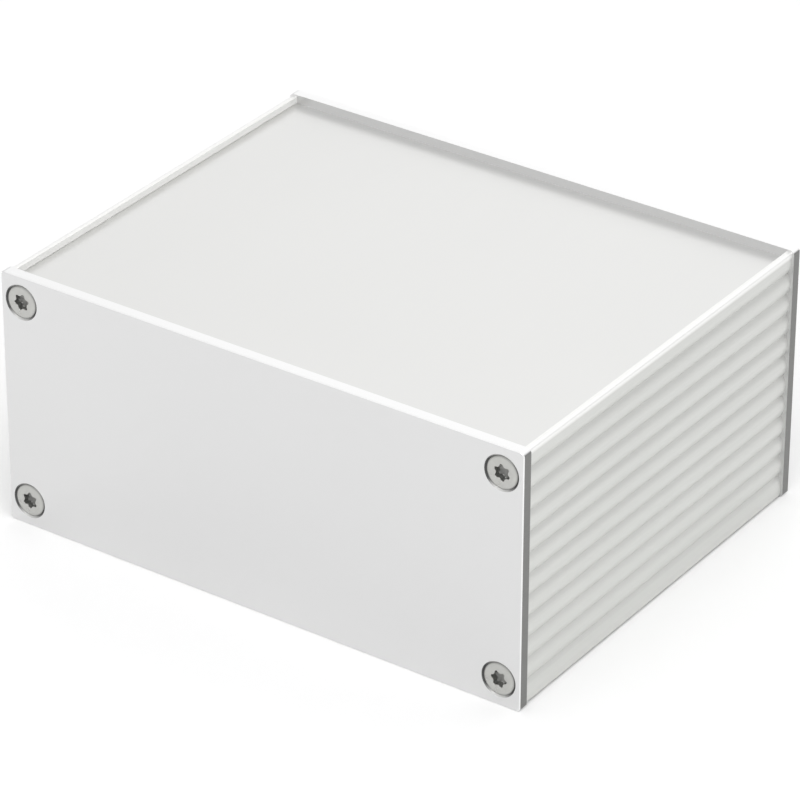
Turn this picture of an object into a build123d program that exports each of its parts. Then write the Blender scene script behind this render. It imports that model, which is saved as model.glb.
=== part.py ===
from build123d import *
import math
import os

# The box stands on the bottom edges of its two end plates. X is its width, Y runs from front to back
# and Z is up. The origin is on the ground under the middle of the box. All sizes are in millimetres.

# Overall
width = 105.0
height = 48.4
body_depth = 80.0

# End plates, a little larger all round than the profiles that they close
plate_thickness = 2.0
plate_overlap = 0.4
plate_corner_radius = 0.8
plate_edge_break = 0.15

# Ribbed wall of the side profiles
wall_thickness = 1.9
rib_count = 12
rib_depth = 0.6
profile_corner_radius = 0.35

# Narrow lips along the profiles' edges, the slots under them that hold the covers, and the covers
lip_thickness = 1.15
lip_width = 1.1
cover_thickness = 1.0
cover_engagement = 0.4
cover_slot_clearance = 0.1
cover_side_clearance = 0.1

# Guides for a circuit board, a comb of ribs on the inside of each wall
guide_count = 12
guide_pitch = 2.8
guide_thickness = 1.0
guide_reach = 2.5
guide_tip_chamfer = 0.2

# Screw positions, from the edges of the end plates
screw_from_side = 4.2
screw_from_edge = 4.9

# Screws
screw_radius = 1.5
screw_length = 8.0
head_radius = 3.0
head_rim = 0.25
recess_point_radius = 1.5
recess_waist_radius = 1.1
recess_flute_radius = 0.6
recess_lobes = 6
recess_depth = 1.2

# What the screws pass through and cut into
countersink_radius = 3.3
countersink_angle = 90
hole_clearance = 0.15
thread_clearance = 0.03
channel_wall = 1.2
channel_mouth = 1.6

# Heights and positions that follow
middle = height / 2
profile_bottom = plate_overlap
profile_top = height - plate_overlap
face_x = width / 2 - plate_overlap
valley_x = face_x - rib_depth
wall_inner_x = face_x - wall_thickness
rib_pitch = (profile_top - profile_bottom) / rib_count
rib_radius = (rib_pitch**2 / 4 + rib_depth**2) / (2 * rib_depth)
slot_height = cover_thickness + cover_slot_clearance
lip_inner_x = face_x - lip_width
slot_end_x = lip_inner_x + cover_engagement
upper_slot_floor = profile_top - lip_thickness - slot_height
lower_slot_floor = profile_bottom + lip_thickness
wall_bottom = lower_slot_floor + slot_height
cover_width = 2 * (slot_end_x - cover_side_clearance)
screw_x = width / 2 - screw_from_side
screw_heights = {"bottom": screw_from_edge, "top": height - screw_from_edge}
channel_radius = screw_radius + thread_clearance
channel_outer_radius = channel_radius + channel_wall


def side_section():
    """Section of a side profile. Its outer edge has an arc for each rib, squared off at the two corners."""
    first_crest = profile_bottom + rib_pitch / 2
    last_crest = profile_top - rib_pitch / 2
    valleys = [profile_bottom + rib_pitch * n for n in range(1, rib_count)]
    screw_places = [(screw_x, z) for z in screw_heights.values()]
    slot_reach = slot_end_x - screw_x + channel_outer_radius
    with BuildSketch(Plane.XZ.offset(-body_depth / 2)) as section:
        with BuildLine():
            Polyline(
                (face_x, first_crest),
                (face_x, profile_bottom),
                (lip_inner_x, profile_bottom),
                (lip_inner_x, wall_bottom),
                (wall_inner_x, wall_bottom),
                (wall_inner_x, upper_slot_floor),
                (lip_inner_x, upper_slot_floor),
                (lip_inner_x, profile_top),
                (face_x, profile_top),
                (face_x, last_crest),
            )
            RadiusArc((face_x, first_crest), (valley_x, valleys[0]), -rib_radius)
            for low, high in zip(valleys[:-1], valleys[1:]):
                RadiusArc((valley_x, low), (valley_x, high), -rib_radius)
            RadiusArc((valley_x, valleys[-1]), (face_x, last_crest), -rib_radius)
        make_face()
        rows = section.vertices().group_by(Axis.Y)
        fillet([rows[0].sort_by(Axis.X)[-1], rows[-1].sort_by(Axis.X)[-1]], radius=profile_corner_radius)

        # The comb of board guides
        with Locations((wall_inner_x - guide_reach / 2, middle)):
            with GridLocations(0, guide_pitch, 1, guide_count):
                Rectangle(guide_reach, guide_thickness)
        chamfer(section.vertices().group_by(Axis.X)[0], length=guide_tip_chamfer)

        # The screw channels, each open along its inner side
        with Locations(*screw_places):
            Circle(channel_outer_radius)
        with Locations(*screw_places):
            Circle(channel_radius, mode=Mode.SUBTRACT)
            Rectangle(
                channel_outer_radius, channel_mouth, align=(Align.MAX, Align.CENTER), mode=Mode.SUBTRACT
            )

        # The slots for the covers
        with Locations((slot_end_x, lower_slot_floor), (slot_end_x, upper_slot_floor)):
            Rectangle(slot_reach, slot_height, align=(Align.MAX, Align.MIN), mode=Mode.SUBTRACT)
    return section.sketch


def cover(floor):
    """A flat cover lying in the slots of both side profiles, at the height of the slots' floor."""
    with BuildPart() as sheet:
        with BuildSketch(Plane.XY.offset(floor)):
            Rectangle(cover_width, body_depth)
        extrude(amount=cover_thickness)
    return sheet.part


def end_plate(inner_face):
    """An end plate with a countersunk hole near each corner. The plane is its inner face, facing out."""
    with BuildPart() as plate:
        with BuildSketch(inner_face):
            RectangleRounded(width, height, plate_corner_radius)
        extrude(amount=plate_thickness)
        outer_face = plate.faces().sort_by(Axis(inner_face.origin, inner_face.z_dir))[-1]
        chamfer(outer_face.edges(), length=plate_edge_break)
        with Locations(inner_face.offset(plate_thickness)):
            with GridLocations(2 * screw_x, screw_heights["top"] - screw_heights["bottom"], 2, 2):
                CounterSinkHole(
                    radius=screw_radius + hole_clearance,
                    counter_sink_radius=countersink_radius,
                    counter_sink_angle=countersink_angle,
                )
    return plate.part


def countersunk_screw():
    """A countersunk screw with a six-lobe recess, pointing down, with the plate's outer face at height 0."""
    cone_top = head_radius - countersink_radius
    cone_bottom = cone_top - (head_radius - screw_radius) / math.tan(math.radians(countersink_angle / 2))
    head_top = cone_top + head_rim
    tip = head_top - screw_length
    with BuildPart() as screw:
        with BuildSketch(Plane.XZ):
            with BuildLine():
                Polyline(
                    (0, head_top),
                    (head_radius, head_top),
                    (head_radius, cone_top),
                    (screw_radius, cone_bottom),
                    (screw_radius, tip),
                    (0, tip),
                    close=True,
                )
            make_face()
        revolve(axis=Axis.Z)

        # The recess: a round hole drawn in by six flutes, which leave six lobes between them
        with BuildSketch(Plane.XY.offset(head_top)):
            Circle(recess_point_radius)
            with PolarLocations(recess_waist_radius + recess_flute_radius, recess_lobes):
                Circle(recess_flute_radius, mode=Mode.SUBTRACT)
        extrude(amount=-recess_depth, mode=Mode.SUBTRACT)
    return screw.part


def save(piece, name):
    """Labels a finished piece and writes it to its own file."""
    piece.label = name
    export_step(piece, f"parts/{name}.step")


os.makedirs("parts", exist_ok=True)

# Side profiles, the left one a mirror image of the right one
with BuildPart() as right_side_profile:
    extrude(side_section(), amount=body_depth)
save(right_side_profile.part, "right_side_profile")

with BuildPart() as left_side_profile:
    mirror(right_side_profile.part, about=Plane.YZ)
save(left_side_profile.part, "left_side_profile")

# Covers
save(cover(upper_slot_floor), "top_cover")
save(cover(lower_slot_floor), "bottom_cover")

# End plates and their screws
ends = {
    "front": Plane(origin=(0, -body_depth / 2, middle), x_dir=(1, 0, 0), z_dir=(0, -1, 0)),
    "rear": Plane(origin=(0, body_depth / 2, middle), x_dir=(-1, 0, 0), z_dir=(0, 1, 0)),
}
sides = {"left": -screw_x, "right": screw_x}
one_screw = countersunk_screw()
for end, inner_face in ends.items():
    save(end_plate(inner_face), f"{end}_plate")
    outer_face = inner_face.offset(plate_thickness)
    for level, z in screw_heights.items():
        for side, x in sides.items():
            seat = Plane(origin=(x, outer_face.origin.Y, z), x_dir=outer_face.x_dir, z_dir=outer_face.z_dir)
            with BuildPart() as screw:
                with Locations(seat):
                    add(one_screw)
            save(screw.part, f"{end}_screw_{level}_{side}")
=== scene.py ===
from math import ceil, cos, pi, radians, sin, tau

import bpy
from bpy.props import FloatProperty, FloatVectorProperty, IntProperty, PointerProperty
from mathutils import Matrix, Vector


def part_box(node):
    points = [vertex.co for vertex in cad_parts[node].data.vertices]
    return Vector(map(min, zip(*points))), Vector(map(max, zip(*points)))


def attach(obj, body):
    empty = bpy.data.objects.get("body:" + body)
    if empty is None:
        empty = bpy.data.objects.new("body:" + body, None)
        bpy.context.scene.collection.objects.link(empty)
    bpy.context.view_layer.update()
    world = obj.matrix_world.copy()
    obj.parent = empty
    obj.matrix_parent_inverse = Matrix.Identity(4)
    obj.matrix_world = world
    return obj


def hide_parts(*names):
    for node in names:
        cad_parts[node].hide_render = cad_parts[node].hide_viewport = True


bl_info = {
    "name": "Aluminium enclosure",
    "version": (1, 0, 0),
    "blender": (4, 5, 0),
    "location": "3D View > Sidebar > Enclosure",
    "description": "Finishes a ribbed aluminium enclosure and sets it on a pale floor",
    "category": "Object",
}

MM = 0.001

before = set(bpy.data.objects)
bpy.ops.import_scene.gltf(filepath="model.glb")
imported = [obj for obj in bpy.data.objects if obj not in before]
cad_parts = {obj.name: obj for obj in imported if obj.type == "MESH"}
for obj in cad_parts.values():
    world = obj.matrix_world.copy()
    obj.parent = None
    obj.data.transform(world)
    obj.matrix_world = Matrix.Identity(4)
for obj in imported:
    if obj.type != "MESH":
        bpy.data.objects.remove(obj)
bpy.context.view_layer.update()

PROFILES = ["left_side_profile", "right_side_profile"]
COVERS = ["bottom_cover", "top_cover"]
PLATES = ["front_plate", "rear_plate"]
SCREWS = sorted(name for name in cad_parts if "_screw_" in name)


def screw_sizes():
    """Head radius and length of the screws, from the frame."""
    low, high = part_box(SCREWS[0])
    return (high.x - low.x) / 2, high.y - low.y


HEAD_RADIUS, SCREW_LENGTH = screw_sizes()
LOBES = 6
SHARP_ANGLE = radians(32.0)

# The top cover's far upper corner, and how far its slot stands off from it, above and at the side
COVER_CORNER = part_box(COVERS[-1])[1]
SLOT_GAP = 0.1 * MM

X_AXIS = (1.0, 0.0, 0.0)
Y_AXIS = (0.0, 1.0, 0.0)
Z_AXIS = (0.0, 0.0, 1.0)


# Kinds of values that a user can change

def a_number(name, description, default):
    """A plain value that isn't negative."""
    return FloatProperty(name=name, description=description, default=default, min=0.0)


def a_length(name, description, default):
    """A length in metres."""
    return FloatProperty(
        name=name, description=description, default=default, min=0.0, unit="LENGTH"
    )


def a_share(name, description, default):
    """A share from nought to one."""
    return FloatProperty(
        name=name, description=description, default=default, min=0.0, max=1.0, subtype="FACTOR"
    )


def an_angle(name, description, default):
    """An angle, with its default in degrees."""
    return FloatProperty(
        name=name, description=description, default=radians(default), unit="ROTATION"
    )


def a_colour(name, description, default):
    """A colour, in linear values."""
    return FloatVectorProperty(
        name=name,
        description=description,
        default=default,
        size=3,
        min=0.0,
        max=1.0,
        subtype="COLOR",
    )


# What a user can change

class ENCLOSURE_PG_profiles(bpy.types.PropertyGroup):
    """Finish of the extruded side profiles."""

    tone: a_colour("Tone", "Colour of the anodised extrusion", (0.685, 0.69, 0.67))
    roughness: a_share("Roughness", "Gloss of the extrusion between its drawn lines", 0.42)
    line_height: a_length("Line height", "Height of the lines that the die left", 0.01 * MM)
    # Painted highlight: a lighter colour on the lips and the tops of the outer sides
    lip_highlight_tone: a_colour("Lip tone", "Colour of the lips, rubbed bright", (0.92, 0.92, 0.91))
    lip_fade: a_length("Lip fade", "Height over which the outer sides fade to it", 0.6 * MM)
    slot_roughness: a_share("Slot roughness", "Gloss of the lips' scuffed inner sides", 0.9)


class ENCLOSURE_PG_covers(bpy.types.PropertyGroup):
    """Finish of the sheet covers."""

    tone: a_colour("Tone", "Colour of the anodised sheet", (0.74, 0.74, 0.73))
    roughness: a_share("Roughness", "Gloss of the sheet", 0.3)
    seat_width: a_length("Seat width", "How far the sheet reaches under the lips", 0.3 * MM)
    # Painted light: a lighter colour on the strips of sheet under the lips, taking out the shade in
    # the slots
    seat_painted_light_tone: a_colour("Seat tone", "Colour of the rubbed sheet under the lips", (0.95, 0.95, 0.94))
    seat_roughness: a_share("Seat roughness", "Gloss of the scuffed sheet under the lips", 0.9)


class ENCLOSURE_PG_plates(bpy.types.PropertyGroup):
    """Finish of the end plates."""

    tone: a_colour("Tone", "Colour of the anodised faces", (0.725, 0.725, 0.725))
    roughness: a_share("Roughness", "Gloss of the faces", 0.38)
    # Painted shade: the sawn ends, which face sideways, are made dark
    cut_shade_tone: a_colour("Cut tone", "Colour of the sawn ends", (0.21, 0.21, 0.205))
    # Painted light and shade: the countersinks are lighter above and below, and dark on their sides
    sink_lit_tone: a_colour("Sink tone", "Colour of the countersinks, above and below", (0.6, 0.6, 0.59))
    sink_shade_tone: a_colour("Side tone", "Colour of the countersinks' sides", (0.12, 0.12, 0.12))
    cut_roughness: a_share("Cut roughness", "Gloss of the sawn ends", 0.3)
    sink_roughness: a_share("Sink roughness", "Gloss of the countersinks", 0.6)
    # Painted highlight: the broken edges, facing up and down, are made light
    edge_highlight_tone: a_colour("Edge tone", "Colour of the broken edges", (0.92, 0.92, 0.92))
    sink_radius: a_length("Sink radius", "Distance from a screw within which cuts are bare", 3.6 * MM)


class ENCLOSURE_PG_screws(bpy.types.PropertyGroup):
    """Shape and finish of the countersunk screws."""

    head_radius: a_length("Head radius", "Radius of the head", HEAD_RADIUS)
    length: a_length("Length", "Length over all", SCREW_LENGTH)
    rim: a_length("Rim", "Height of the head's edge above its cone", 0.25 * MM)
    edge_break: a_length("Edge break", "Rounding of the head's edge", 0.5 * MM)
    shank_radius: a_length("Shank radius", "Outer radius of the thread", 1.5 * MM)
    thread_depth: a_length("Thread depth", "Depth of the thread", 0.3 * MM)
    pitch: a_length("Pitch", "Pitch of the thread", 0.5 * MM)
    lobe_radius: a_length("Lobe radius", "Radius to the points of the recess", 1.52 * MM)
    waist_radius: a_length("Waist radius", "Radius to the waists of the recess", 1.12 * MM)
    flute_radius: a_length("Flute radius", "Radius of the six flutes between the lobes", 0.6 * MM)
    recess_depth: a_length("Recess depth", "Depth of the recess's walls", 1.2 * MM)
    steps: IntProperty(
        name="Steps", description="Points round the screw", default=72, min=24, max=180
    )
    turn_step: a_share("Turn step", "How far each screw is turned past the last, of a lobe", 0.37)
    tone: a_colour("Tone", "Colour of the face of the head", (0.52, 0.52, 0.5))
    # Painted shade: the steel below the face of the head is made darker
    low_shade_tone: a_colour("Low tone", "Colour of the steel below the face", (0.33, 0.33, 0.32))
    roughness: a_share("Roughness", "Gloss of the face of the head", 0.28)
    low_roughness: a_share("Low roughness", "Gloss of the steel below the face", 0.5)


class ENCLOSURE_PG_stage(bpy.types.PropertyGroup):
    """Camera, floor and light."""

    azimuth: an_angle("Azimuth", "Where the camera stands round the box", 34.87)
    elevation: an_angle("Elevation", "How high the camera stands", 29.87)
    roll: an_angle("Roll", "Tilt of the camera", 0.15)
    distance: a_length("Distance", "From the camera to what it aims at", 806.7 * MM)
    aim: FloatVectorProperty(
        name="Aim",
        description="The point in the middle of the view",
        default=(-3.56 * MM, 4.51 * MM, 17.73 * MM),
        unit="LENGTH",
    )
    lens: a_number("Lens", "Focal length on a 36 mm sensor, in millimetres", 211.0)
    floor_tone: a_colour("Floor tone", "Colour of the floor", (0.86, 0.86, 0.86))
    floor_size: a_length("Floor size", "Width of the floor", 12.0)
    floor_lift: a_share("Floor lift", "What is added to the floor where it is seen", 0.03)
    sky: a_number("Sky", "Light from all round", 0.67)
    glow: a_number("Glow", "Light from behind the box", 1.15)
    glow_azimuth: an_angle("Glow azimuth", "Where the glow stands round the box", 180.0)
    glow_elevation: an_angle("Glow elevation", "How high the glow stands", 37.0)
    glow_inner: an_angle("Glow inner", "How far from its middle the glow is full", 34.0)
    glow_outer: an_angle("Glow outer", "How far from its middle the glow reaches", 46.0)
    lamp_distance: a_length("Lamp distance", "From each lamp to the box", 1.6)
    key: a_number("Key light", "Power of the lamp over the camera", 15.0)
    key_elevation: an_angle("Key elevation", "How high the key lamp stands", 56.0)
    key_size: a_length("Key size", "Width of the key lamp", 1.4)
    fill: a_number("Fill light", "Power of the lamp at the front left", 1.5)
    fill_azimuth: an_angle("Fill azimuth", "Where the fill lamp stands round the box", -34.9)
    fill_elevation: an_angle("Fill elevation", "How high the fill lamp stands", 34.0)
    fill_size: a_length("Fill size", "Width of the fill lamp", 1.1)


class ENCLOSURE_PG_settings(bpy.types.PropertyGroup):
    """All that a user can change."""

    profiles: PointerProperty(type=ENCLOSURE_PG_profiles)
    covers: PointerProperty(type=ENCLOSURE_PG_covers)
    plates: PointerProperty(type=ENCLOSURE_PG_plates)
    screws: PointerProperty(type=ENCLOSURE_PG_screws)
    stage: PointerProperty(type=ENCLOSURE_PG_stage)


# Shared effects, each a group of shader nodes

def new_group(name, inputs, outputs):
    """An empty shader group. Inputs are names, types and defaults; outputs are names and types."""
    group = bpy.data.node_groups.new(name, "ShaderNodeTree")
    for title, kind, default in inputs:
        socket = group.interface.new_socket(title, in_out="INPUT", socket_type=kind)
        socket.default_value = default
    for title, kind in outputs:
        group.interface.new_socket(title, in_out="OUTPUT", socket_type=kind)
    start = group.nodes.new("NodeGroupInput")
    end = group.nodes.new("NodeGroupOutput")
    return group, start, end


def node(tree, kind, **values):
    """A new node with its properties and the defaults of its inputs set."""
    made = tree.nodes.new(kind)
    for key, value in values.items():
        if key in made.inputs:
            made.inputs[key].default_value = value
        else:
            setattr(made, key, value)
    return made


def active(sockets, name):
    """The socket of that name that a node with several data types is using."""
    return next(s for s in sockets if s.name == name and s.enabled)


def drawn_lines_group():
    """Fine lines along one direction, as left by a die or by rolling: a height and a mask."""
    group, start, end = new_group(
        "Drawn lines",
        [
            ("Scale", "NodeSocketVector", (1500.0, 12.0, 1500.0)),
            ("Detail", "NodeSocketFloat", 3.0),
            ("Contrast", "NodeSocketFloat", 0.5),
        ],
        [("Height", "NodeSocketFloat"), ("Mask", "NodeSocketFloat")],
    )
    place = group.nodes.new("ShaderNodeTexCoord")
    stretched = node(group, "ShaderNodeVectorMath", operation="MULTIPLY")
    noise = node(group, "ShaderNodeTexNoise", Scale=1.0, Roughness=0.6)
    spread = node(group, "ShaderNodeMapRange")
    low = node(group, "ShaderNodeMath", operation="SUBTRACT")
    low.inputs[0].default_value = 0.5
    high = node(group, "ShaderNodeMath", operation="ADD")
    high.inputs[0].default_value = 0.5
    link = group.links.new
    link(place.outputs["Object"], stretched.inputs[0])
    link(start.outputs["Scale"], stretched.inputs[1])
    link(stretched.outputs[0], noise.inputs["Vector"])
    link(start.outputs["Detail"], noise.inputs["Detail"])
    link(start.outputs["Contrast"], low.inputs[1])
    link(start.outputs["Contrast"], high.inputs[1])
    link(noise.outputs[0], spread.inputs["Value"])
    link(low.outputs[0], spread.inputs["From Min"])
    link(high.outputs[0], spread.inputs["From Max"])
    link(noise.outputs[0], end.inputs["Height"])
    link(spread.outputs["Result"], end.inputs["Mask"])
    return group


def etched_grain_group():
    """The even, fine relief of etched and anodised aluminium, with slow clouds of tone over it."""
    group, start, end = new_group(
        "Etched grain",
        [
            ("Grain scale", "NodeSocketFloat", 6000.0),
            ("Cloud scale", "NodeSocketFloat", 25.0),
        ],
        [("Height", "NodeSocketFloat"), ("Clouds", "NodeSocketFloat")],
    )
    place = group.nodes.new("ShaderNodeTexCoord")
    grain = node(group, "ShaderNodeTexNoise", Detail=2.0, Roughness=0.6)
    clouds = node(group, "ShaderNodeTexNoise", Detail=3.0, Roughness=0.5)
    link = group.links.new
    link(place.outputs["Object"], grain.inputs["Vector"])
    link(place.outputs["Object"], clouds.inputs["Vector"])
    link(start.outputs["Grain scale"], grain.inputs["Scale"])
    link(start.outputs["Cloud scale"], clouds.inputs["Scale"])
    link(grain.outputs[0], end.inputs["Height"])
    link(clouds.outputs[0], end.inputs["Clouds"])
    return group


def along_axis_group(name, source, axis, low, high):
    """A mask that rises as a coordinate's size along an axis goes from one value to another."""
    group, start, end = new_group(
        name,
        [
            ("Axis", "NodeSocketVector", axis),
            ("From", "NodeSocketFloat", low),
            ("To", "NodeSocketFloat", high),
        ],
        [("Mask", "NodeSocketFloat")],
    )
    place = group.nodes.new("ShaderNodeTexCoord")
    along = node(group, "ShaderNodeVectorMath", operation="DOT_PRODUCT")
    size = node(group, "ShaderNodeMath", operation="ABSOLUTE")
    ramp = group.nodes.new("ShaderNodeMapRange")
    link = group.links.new
    link(place.outputs[source], along.inputs[0])
    link(start.outputs["Axis"], along.inputs[1])
    link(along.outputs["Value"], size.inputs[0])
    link(size.outputs[0], ramp.inputs["Value"])
    link(start.outputs["From"], ramp.inputs["From Min"])
    link(start.outputs["To"], ramp.inputs["From Max"])
    link(ramp.outputs["Result"], end.inputs["Mask"])
    return group


def facing_group():
    """A mask of the faces that look along an axis, either way."""
    return along_axis_group("Facing", "Normal", X_AXIS, 0.8, 0.95)


def far_out_group():
    """A mask of what lies far enough from the middle along an axis, either way."""
    return along_axis_group("Far out", "Object", Z_AXIS, 0.0, 0.1 * MM)


def screw_discs_group():
    """A mask of what lies near one of four lines along Y, set evenly round a middle."""
    group, start, end = new_group(
        "Screw discs",
        [
            ("Middle", "NodeSocketVector", (0.0, 0.0, 0.0)),
            ("Offset", "NodeSocketVector", (0.05, 0.0, 0.02)),
            ("Radius", "NodeSocketFloat", 0.003),
        ],
        [("Mask", "NodeSocketFloat")],
    )
    place = group.nodes.new("ShaderNodeTexCoord")
    moved = node(group, "ShaderNodeVectorMath", operation="SUBTRACT")
    folded = node(group, "ShaderNodeVectorMath", operation="ABSOLUTE")
    across = node(group, "ShaderNodeVectorMath", operation="SUBTRACT")
    flat = node(group, "ShaderNodeVectorMath", operation="MULTIPLY")
    flat.inputs[1].default_value = (1.0, 0.0, 1.0)
    size = node(group, "ShaderNodeVectorMath", operation="LENGTH")
    inside = node(group, "ShaderNodeMath", operation="LESS_THAN")
    link = group.links.new
    link(place.outputs["Object"], moved.inputs[0])
    link(start.outputs["Middle"], moved.inputs[1])
    link(moved.outputs[0], folded.inputs[0])
    link(folded.outputs[0], across.inputs[0])
    link(start.outputs["Offset"], across.inputs[1])
    link(across.outputs[0], flat.inputs[0])
    link(flat.outputs[0], size.inputs[0])
    link(size.outputs["Value"], inside.inputs[0])
    link(start.outputs["Radius"], inside.inputs[1])
    link(inside.outputs[0], end.inputs["Mask"])
    return group


def turned_rings_group():
    """Fine rings round a piece's own Z axis, as turning leaves them."""
    group, start, end = new_group(
        "Turned rings",
        [
            ("Rings", "NodeSocketFloat", 9000.0),
            ("Unevenness", "NodeSocketFloat", 0.6),
        ],
        [("Height", "NodeSocketFloat")],
    )
    place = group.nodes.new("ShaderNodeTexCoord")
    flat = node(group, "ShaderNodeVectorMath", operation="MULTIPLY")
    flat.inputs[1].default_value = (1.0, 1.0, 0.0)
    radius = node(group, "ShaderNodeVectorMath", operation="LENGTH")
    count = node(group, "ShaderNodeMath", operation="MULTIPLY")
    noise = node(group, "ShaderNodeTexNoise", noise_dimensions="1D", Scale=1.0, Detail=2.0)
    link = group.links.new
    link(place.outputs["Object"], flat.inputs[0])
    link(flat.outputs[0], radius.inputs[0])
    link(radius.outputs["Value"], count.inputs[0])
    link(start.outputs["Rings"], count.inputs[1])
    link(count.outputs[0], noise.inputs["W"])
    link(start.outputs["Unevenness"], noise.inputs["Roughness"])
    link(noise.outputs[0], end.inputs["Height"])
    return group


def effect(name, make):
    """The shared group of that name, built the first time that it is asked for."""
    return bpy.data.node_groups.get(name) or make()


class Finish:
    """A material on one Principled BSDF, with short ways to place effects and join them up."""

    def __init__(self, name):
        self.material = bpy.data.materials.new(name)
        self.material.use_nodes = True
        self.tree = self.material.node_tree
        self.shader = self.tree.nodes["Principled BSDF"]
        self.shader.inputs["Metallic"].default_value = 1.0

    def link(self, source, target):
        """Joins two sockets."""
        self.tree.links.new(source, target)

    def wear(self, name, source):
        """Leads a socket to an input of the shader."""
        self.link(source, self.shader.inputs[name])

    def group(self, name, make, **values):
        """A shared effect, placed with its own values. An underscore stands for a space."""
        placed = node(self.tree, "ShaderNodeGroup", node_tree=effect(name, make))
        for key, value in values.items():
            placed.inputs[key.replace("_", " ")].default_value = value
        return placed

    def mask(self, name, make, **values):
        """The mask of a shared effect."""
        return self.group(name, make, **values).outputs["Mask"]

    def blend(self, kind, mask, first, second):
        """Mixes two inputs of one kind, each a socket or a constant, by a mask."""
        made = node(self.tree, "ShaderNodeMix", data_type=kind)
        self.link(mask, active(made.inputs, "Factor"))
        for side, value in (("A", first), ("B", second)):
            socket = active(made.inputs, side)
            if isinstance(value, bpy.types.NodeSocket):
                self.link(value, socket)
            else:
                socket.default_value = (*value, 1.0) if kind == "RGBA" else value
        return active(made.outputs, "Result")

    def colour(self, mask, first, second):
        """A colour that moves from one to another with the mask."""
        return self.blend("RGBA", mask, first, second)

    def value(self, mask, first, second):
        """A value that moves from one to another with the mask."""
        return self.blend("FLOAT", mask, first, second)

    def shades(self, mask, tone, darkest, lightest):
        """A tone that moves with the mask between two shades of it, given as factors."""
        return self.colour(mask, scaled(tone, darkest), scaled(tone, lightest))

    def relief(self, height, distance, before=None):
        """A normal with the height's relief, over that of another relief where there is one."""
        bump = node(self.tree, "ShaderNodeBump", Distance=distance, Strength=1.0)
        self.link(height, bump.inputs["Height"])
        if before is not None:
            self.link(before, bump.inputs["Normal"])
        return bump.outputs["Normal"]


def scaled(tone, factor):
    """A tone made lighter or darker."""
    return [min(1.0, channel * factor) for channel in tone]


def put_on(names, material):
    """Gives nodes of the frame their finish."""
    for name in names:
        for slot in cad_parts[name].material_slots:
            slot.material = material


# Materials

def profile_finish(settings):
    """Anodised extrusion: satin, with fine lines along it from the die, and a painted highlight on
    the lips.
    """
    finish = Finish("Anodised extrusion")
    lines = finish.group(
        "Drawn lines", drawn_lines_group, Scale=(2600.0, 9.0, 2600.0), Contrast=0.22
    )
    grain = finish.group(
        "Etched grain", etched_grain_group, Grain_scale=9000.0, Cloud_scale=30.0
    )
    tone = finish.shades(grain.outputs["Clouds"], settings.tone, 0.97, 1.03)
    gloss = finish.value(
        lines.outputs["Mask"], settings.roughness - 0.05, settings.roughness + 0.07
    )
    etched = finish.relief(grain.outputs["Height"], 0.002 * MM)

    # The outer sides start just beyond the ends of the covers' slots
    outside = finish.mask(
        "Far out",
        far_out_group,
        Axis=X_AXIS,
        From=COVER_CORNER.x + 1.2 * SLOT_GAP,
        To=COVER_CORNER.x + 1.6 * SLOT_GAP,
    )
    lip = COVER_CORNER.z + SLOT_GAP
    outer = finish.mask("Far out", far_out_group, From=lip, To=lip + settings.lip_fade)
    inner = finish.mask(
        "Far out", far_out_group, From=COVER_CORNER.z - SLOT_GAP, To=COVER_CORNER.z
    )
    # Painted highlight: the lips' tops and inner sides, and the outer sides above the lips, get a
    # lighter colour
    painted_light = finish.value(outside, inner, outer)
    scuffed = finish.value(outside, inner, 0.0)
    finish.wear("Base Color", finish.colour(painted_light, tone, settings.lip_highlight_tone))
    finish.wear("Roughness", finish.value(scuffed, gloss, settings.slot_roughness))
    finish.wear("Normal", finish.relief(lines.outputs["Height"], settings.line_height, etched))
    return finish.material


def cover_finish(settings):
    """Anodised sheet: smoother than the extrusion, with faint rolling lines along its length, and
    painted light on the strips under the lips.
    """
    finish = Finish("Anodised sheet")
    lines = finish.group(
        "Drawn lines", drawn_lines_group, Scale=(5200.0, 60.0, 5200.0), Contrast=0.25
    )
    grain = finish.group(
        "Etched grain", etched_grain_group, Grain_scale=9000.0, Cloud_scale=18.0
    )
    tone = finish.shades(grain.outputs["Clouds"], settings.tone, 0.98, 1.02)
    gloss = finish.value(
        lines.outputs["Mask"], settings.roughness - 0.02, settings.roughness + 0.03
    )
    etched = finish.relief(grain.outputs["Height"], 0.0015 * MM)
    seat = COVER_CORNER.x - settings.seat_width
    seats = finish.mask(
        "Far out", far_out_group, Axis=X_AXIS, From=seat - SLOT_GAP / 2, To=seat
    )
    # Painted light: the strips under the lips are made lighter, so the slots show no shade
    finish.wear("Base Color", finish.colour(seats, tone, settings.seat_painted_light_tone))
    finish.wear("Roughness", finish.value(seats, gloss, settings.seat_roughness))
    finish.wear("Normal", finish.relief(lines.outputs["Height"], 0.001 * MM, etched))
    return finish.material


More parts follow.
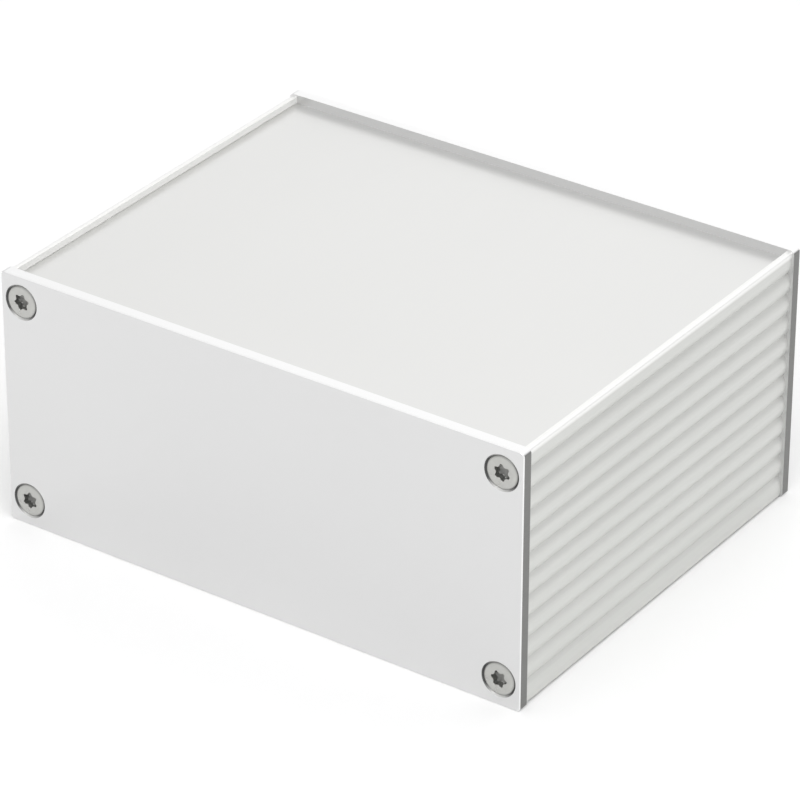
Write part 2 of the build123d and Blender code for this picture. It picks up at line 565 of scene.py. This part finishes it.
def plate_finish(settings):
    """Anodised plate with bare cuts: painted shade darkens the sawn ends and the countersinks, most
    on their sides, and a painted highlight brightens the broken edges.
    """
    finish = Finish("Anodised plate")
    grain = finish.group(
        "Etched grain", etched_grain_group, Grain_scale=8000.0, Cloud_scale=22.0
    )
    clouds = grain.outputs["Clouds"]
    lines = finish.mask(
        "Drawn lines", drawn_lines_group, Scale=(300.0, 300.0, 5000.0), Contrast=0.3
    )
    low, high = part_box(PLATES[0])
    seat_low, seat_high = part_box(SCREWS[-1])
    middle = (low + high) / 2
    discs = finish.mask(
        "Screw discs",
        screw_discs_group,
        Middle=middle,
        Offset=(seat_low + seat_high) / 2 - middle,
        Radius=settings.sink_radius,
    )
    flat = finish.mask("Facing", facing_group, Axis=Y_AXIS, From=0.95, To=0.98)
    ends = finish.mask("Facing", facing_group)
    # Where the countersinks face sideways, for the painted shade on them
    side_shade_mask = finish.mask("Facing", facing_group, From=0.25, To=0.6)
    sunk = finish.value(flat, discs, 0.0)

    face = finish.shades(clouds, settings.tone, 0.98, 1.02)
    # Painted highlight: the broken edges facing up and down are made light
    edge = finish.shades(clouds, settings.edge_highlight_tone, 0.97, 1.0)
    # Painted shade: the sawn ends facing sideways are made dark
    shaded_cut = finish.shades(lines, settings.cut_shade_tone, 0.9, 1.1)
    # Painted light and shade: countersinks lighter above and below, dark on their sides
    sink_light_and_shade = finish.colour(side_shade_mask, settings.sink_lit_tone, settings.sink_shade_tone)
    tone = finish.colour(ends, finish.colour(flat, edge, face), shaded_cut)
    finish.wear("Base Color", finish.colour(sunk, tone, sink_light_and_shade))

    face_gloss = finish.value(clouds, settings.roughness - 0.04, settings.roughness + 0.04)
    cut_gloss = finish.value(lines, settings.cut_roughness, settings.cut_roughness + 0.12)
    gloss = finish.value(ends, face_gloss, cut_gloss)
    finish.wear("Roughness", finish.value(sunk, gloss, settings.sink_roughness))
    finish.wear("Normal", finish.relief(grain.outputs["Height"], 0.002 * MM))
    return finish.material


def steel_finish(settings):
    """Bright steel, turned and then tumbled, and darker below the face of the head, as painted shade.
    """
    finish = Finish("Bright steel")
    rings = finish.group("Turned rings", turned_rings_group)
    clouds = finish.group(
        "Etched grain", etched_grain_group, Grain_scale=7000.0, Cloud_scale=600.0
    ).outputs["Clouds"]
    tone = finish.shades(clouds, settings.tone, 0.85, 1.1)
    gloss = finish.value(clouds, settings.roughness - 0.08, settings.roughness + 0.12)
    # Painted shade: in the recess, on the rounded edge and down the cone, the steel is made darker
    below = finish.mask("Far out", far_out_group, From=0.01 * MM, To=0.12 * MM)
    finish.wear("Base Color", finish.colour(below, tone, settings.low_shade_tone))
    finish.wear("Roughness", finish.value(below, gloss, settings.low_roughness))
    finish.wear("Normal", finish.relief(rings.outputs["Height"], 0.006 * MM))
    return finish.material


# Screws

def lobe_outline(settings, angle):
    """Radius of the lobed recess at an angle, with a flute at angle zero."""
    sector = tau / LOBES
    off = (angle + sector / 2) % sector - sector / 2
    centre = settings.waist_radius + settings.flute_radius
    across = centre * sin(off)
    if abs(across) >= settings.flute_radius:
        return settings.lobe_radius
    reach = centre * cos(off) - (settings.flute_radius**2 - across**2) ** 0.5
    return min(settings.lobe_radius, reach)


def soft_outline(settings, angle):
    """The recess's radius with its points rounded, as an average over a few degrees."""
    spread = radians(5.0)
    samples = [-1.0, -0.5, 0.0, 0.5, 1.0]
    return sum(lobe_outline(settings, angle + spread * s) for s in samples) / len(samples)


def thread_radius(settings, angle, height, fade):
    """Radius of the thread at an angle and a height. The fade makes it shallower."""
    crest, flank = 0.12, 0.7
    turn = (-height / settings.pitch - angle / tau) % 1.0
    from_crest = abs(turn - 0.5) * 2
    depth = min(1.0, max(0.0, (from_crest - crest) / flank))
    return settings.shank_radius - settings.thread_depth * depth * fade


def screw_rings(settings):
    """Rings from the bottom of the recess to the tip, each giving radius and height at an angle."""
    head = settings.head_radius
    edge = settings.edge_break
    shank = settings.shank_radius
    recess_floor = -settings.recess_depth
    floor_drop = 0.15 * settings.recess_depth
    recess_edge = 1.03
    cone_end = -settings.rim - (head - shank)
    thread_start = cone_end - settings.pitch / 2
    tip = -settings.length
    run_out = settings.pitch
    least_depth = 0.35
    rings_per_pitch = 6

    def recess(share_out, height):
        return lambda a: (soft_outline(settings, a) * share_out, height)

    def face(t):
        return lambda a: (
            soft_outline(settings, a) * recess_edge * (1 - t) + (head - edge) * t,
            0.0,
        )

    def even(radius, height):
        return lambda a: (radius, height)

    def thread(height):
        fade = min(1.0, (thread_start - height) / run_out, (height - tip) / run_out + least_depth)
        return lambda a: (thread_radius(settings, a, height, fade), height)

    rings = [
        recess(0.12, recess_floor - floor_drop),
        recess(0.55, recess_floor - floor_drop / 2),
        recess(0.93, recess_floor),
    ]
    rings += [recess(1.0, recess_floor * t) for t in (0.93, 0.6, 0.3, 0.05)]
    rings += [face(t) for t in (0.0, 0.12, 0.5, 0.9, 1.0)]
    for t in (0.2, 0.4, 0.6, 0.8, 1.0):
        bend = t * pi / 2
        rings.append(even(head - edge * (1 - sin(bend)), -settings.rim * (1 - cos(bend))))
    rings += [even(shank, cone_end), even(shank, thread_start)]
    count = ceil((thread_start - tip) / settings.pitch * rings_per_pitch)
    step = (thread_start - tip) / count
    rings += [thread(thread_start - step * n) for n in range(1, count + 1)]
    return rings


def screw_mesh(settings, name, turn):
    """A screw turned about its Z axis, which points out of the head from its face at zero."""
    steps = settings.steps
    angles = [tau * n / steps for n in range(steps)]
    points = []
    for ring in screw_rings(settings):
        for angle in angles:
            radius, height = ring(angle)
            points.append((radius * cos(angle + turn), radius * sin(angle + turn), height))
    rows = len(points) // steps
    faces = []
    for row in range(rows - 1):
        for n in range(steps):
            after = (n + 1) % steps
            low, high = row * steps, (row + 1) * steps
            faces.append((low + n, low + after, high + after, high + n))
    faces.append(tuple(reversed(range(steps))))
    faces.append(tuple(range((rows - 1) * steps, rows * steps)))
    mesh = bpy.data.meshes.new(name)
    mesh.from_pydata(points, [], faces)
    mesh.polygons.foreach_set("use_smooth", [True] * len(mesh.polygons))
    mesh.set_sharp_from_angle(angle=SHARP_ANGLE)
    mesh.validate()
    return mesh


def screw_place(name):
    """Where a screw stands: in its node's box, pointing out of its plate."""
    low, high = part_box(name)
    centre = (low + high) / 2
    outward = -1.0 if centre.y < 0 else 1.0
    head = Vector((centre.x, low.y if outward < 0 else high.y, centre.z))
    return Matrix.Translation(head) @ Matrix.Rotation(-outward * pi / 2, 4, "X")


# Stage

def floor_material(settings):
    """A pale, matt floor, lifted a little where the camera or a reflection sees it."""
    material = bpy.data.materials.new("Pale floor")
    material.use_nodes = True
    tree = material.node_tree
    shader = tree.nodes["Principled BSDF"]
    shader.inputs["Roughness"].default_value = 0.9
    shader.inputs["Specular IOR Level"].default_value = 0.1
    shader.inputs["Base Color"].default_value = (*settings.floor_tone, 1.0)
    seen = tree.nodes.new("ShaderNodeLightPath")
    first = node(tree, "ShaderNodeMath", operation="MAXIMUM")
    both = node(tree, "ShaderNodeMath", operation="MAXIMUM")
    lift = node(tree, "ShaderNodeMath", operation="MULTIPLY")
    lift.inputs[1].default_value = settings.floor_lift
    tree.links.new(seen.outputs["Is Camera Ray"], first.inputs[0])
    tree.links.new(seen.outputs["Is Glossy Ray"], first.inputs[1])
    tree.links.new(seen.outputs["Is Transmission Ray"], both.inputs[0])
    tree.links.new(first.outputs[0], both.inputs[1])
    tree.links.new(both.outputs[0], lift.inputs[0])
    tree.links.new(lift.outputs[0], shader.inputs["Emission Strength"])
    shader.inputs["Emission Color"].default_value = (1.0, 1.0, 1.0, 1.0)
    return material


def make_floor(settings):
    """A wide flat floor under the box."""
    half = settings.floor_size / 2
    corners = [(-half, -half, 0.0), (half, -half, 0.0), (half, half, 0.0), (-half, half, 0.0)]
    mesh = bpy.data.meshes.new("floor")
    mesh.from_pydata(corners, [], [(0, 1, 2, 3)])
    mesh.materials.append(floor_material(settings))
    floor = bpy.data.objects.new("floor", mesh)
    bpy.context.scene.collection.objects.link(floor)


def toward(azimuth, elevation):
    """A direction at an angle round the box from its front and an angle up."""
    flat = cos(elevation)
    return Vector((flat * sin(azimuth), -flat * cos(azimuth), sin(elevation)))


def make_camera(settings):
    """The camera on its sphere round the point that it aims at."""
    data = bpy.data.cameras.new("camera")
    data.sensor_width = 36.0
    data.lens = settings.lens
    data.clip_start = 0.01
    data.clip_end = 100.0
    camera = bpy.data.objects.new("camera", data)
    bpy.context.scene.collection.objects.link(camera)
    away = settings.distance * toward(settings.azimuth, settings.elevation)
    camera.matrix_world = (
        Matrix.Translation(Vector(settings.aim) + away)
        @ Matrix.Rotation(settings.azimuth, 4, "Z")
        @ Matrix.Rotation(pi / 2 - settings.elevation, 4, "X")
        @ Matrix.Rotation(settings.roll, 4, "Z")
    )
    bpy.context.scene.camera = camera


def make_sky(settings):
    """Even light from all round, brighter in a wide glow behind the box."""
    world = bpy.data.worlds.new("sky")
    world.use_nodes = True
    tree = world.node_tree
    place = tree.nodes.new("ShaderNodeTexCoord")
    near = node(tree, "ShaderNodeVectorMath", operation="DOT_PRODUCT")
    near.inputs[1].default_value = toward(settings.glow_azimuth, settings.glow_elevation)
    ramp = node(tree, "ShaderNodeMapRange", interpolation_type="SMOOTHSTEP")
    ramp.inputs["From Min"].default_value = cos(settings.glow_outer)
    ramp.inputs["From Max"].default_value = cos(settings.glow_inner)
    ramp.inputs["To Min"].default_value = settings.sky
    ramp.inputs["To Max"].default_value = settings.glow
    background = tree.nodes["Background"]
    background.inputs["Color"].default_value = (1.0, 1.0, 1.0, 1.0)
    tree.links.new(place.outputs["Generated"], near.inputs[0])
    tree.links.new(near.outputs["Value"], ramp.inputs["Value"])
    tree.links.new(ramp.outputs["Result"], background.inputs["Strength"])
    bpy.context.scene.world = world


def make_lamp(name, aim, away, size, power):
    """A large square lamp that stands away from what it aims at."""
    data = bpy.data.lights.new(name, "AREA")
    data.size = size
    data.energy = power
    lamp = bpy.data.objects.new(name, data)
    bpy.context.scene.collection.objects.link(lamp)
    lamp.location = Vector(aim) + away
    lamp.rotation_euler = away.to_track_quat("Z", "Y").to_euler()


# Operators

class ENCLOSURE_OT_profiles(bpy.types.Operator):
    """Finish the side profiles as anodised extrusions"""

    bl_idname = "enclosure.profiles"
    bl_label = "Finish the side profiles"

    def execute(self, context):
        put_on(PROFILES, profile_finish(context.scene.enclosure.profiles))
        return {"FINISHED"}


class ENCLOSURE_OT_covers(bpy.types.Operator):
    """Finish the covers as anodised sheet"""

    bl_idname = "enclosure.covers"
    bl_label = "Finish the covers"

    def execute(self, context):
        put_on(COVERS, cover_finish(context.scene.enclosure.covers))
        return {"FINISHED"}


class ENCLOSURE_OT_plates(bpy.types.Operator):
    """Finish the end plates, with their cut edges and countersinks"""

    bl_idname = "enclosure.plates"
    bl_label = "Finish the end plates"

    def execute(self, context):
        put_on(PLATES, plate_finish(context.scene.enclosure.plates))
        return {"FINISHED"}


class ENCLOSURE_OT_screws(bpy.types.Operator):
    """Make the countersunk screws with their recesses and threads"""

    bl_idname = "enclosure.screws"
    bl_label = "Make the screws"

    def execute(self, context):
        settings = context.scene.enclosure.screws
        steel = steel_finish(settings)
        for number, name in enumerate(SCREWS):
            turn = tau / LOBES * (number * settings.turn_step % 1.0)
            mesh = screw_mesh(settings, f"{name}_steel", turn)
            mesh.materials.append(steel)
            screw = bpy.data.objects.new(f"{name}_steel", mesh)
            context.scene.collection.objects.link(screw)
            screw.matrix_world = screw_place(name)
            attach(screw, "root")
            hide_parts(name)
        return {"FINISHED"}


class ENCLOSURE_OT_stage(bpy.types.Operator):
    """Set up the floor, the light and the camera"""

    bl_idname = "enclosure.stage"
    bl_label = "Set up the stage"

    def execute(self, context):
        settings = context.scene.enclosure.stage
        make_floor(settings)
        make_camera(settings)
        make_sky(settings)
        over_camera = toward(settings.azimuth, settings.key_elevation) * settings.lamp_distance
        front_left = toward(settings.fill_azimuth, settings.fill_elevation) * settings.lamp_distance
        make_lamp("key", settings.aim, over_camera, settings.key_size, settings.key)
        make_lamp("fill", settings.aim, front_left, settings.fill_size, settings.fill)
        context.scene.view_settings.view_transform = "Standard"
        return {"FINISHED"}


class ENCLOSURE_PT_panel(bpy.types.Panel):
    """Lists what can be made"""

    bl_idname = "ENCLOSURE_PT_panel"
    bl_label = "Enclosure"
    bl_space_type = "VIEW_3D"
    bl_region_type = "UI"
    bl_category = "Enclosure"

    def draw(self, context):
        for operator in OPERATORS:
            self.layout.operator(operator.bl_idname)


OPERATORS = [
    ENCLOSURE_OT_profiles,
    ENCLOSURE_OT_covers,
    ENCLOSURE_OT_plates,
    ENCLOSURE_OT_screws,
    ENCLOSURE_OT_stage,
]
CLASSES = [
    ENCLOSURE_PG_profiles,
    ENCLOSURE_PG_covers,
    ENCLOSURE_PG_plates,
    ENCLOSURE_PG_screws,
    ENCLOSURE_PG_stage,
    ENCLOSURE_PG_settings,
    *OPERATORS,
    ENCLOSURE_PT_panel,
]


def register():
    for kind in CLASSES:
        bpy.utils.register_class(kind)
    bpy.types.Scene.enclosure = PointerProperty(type=ENCLOSURE_PG_settings)


def unregister():
    del bpy.types.Scene.enclosure
    for kind in reversed(CLASSES):
        bpy.utils.unregister_class(kind)


def main():
    register()
    bpy.ops.enclosure.profiles()
    bpy.ops.enclosure.covers()
    bpy.ops.enclosure.plates()
    bpy.ops.enclosure.screws()
    bpy.ops.enclosure.stage()


if __name__ == "__main__":
    main()
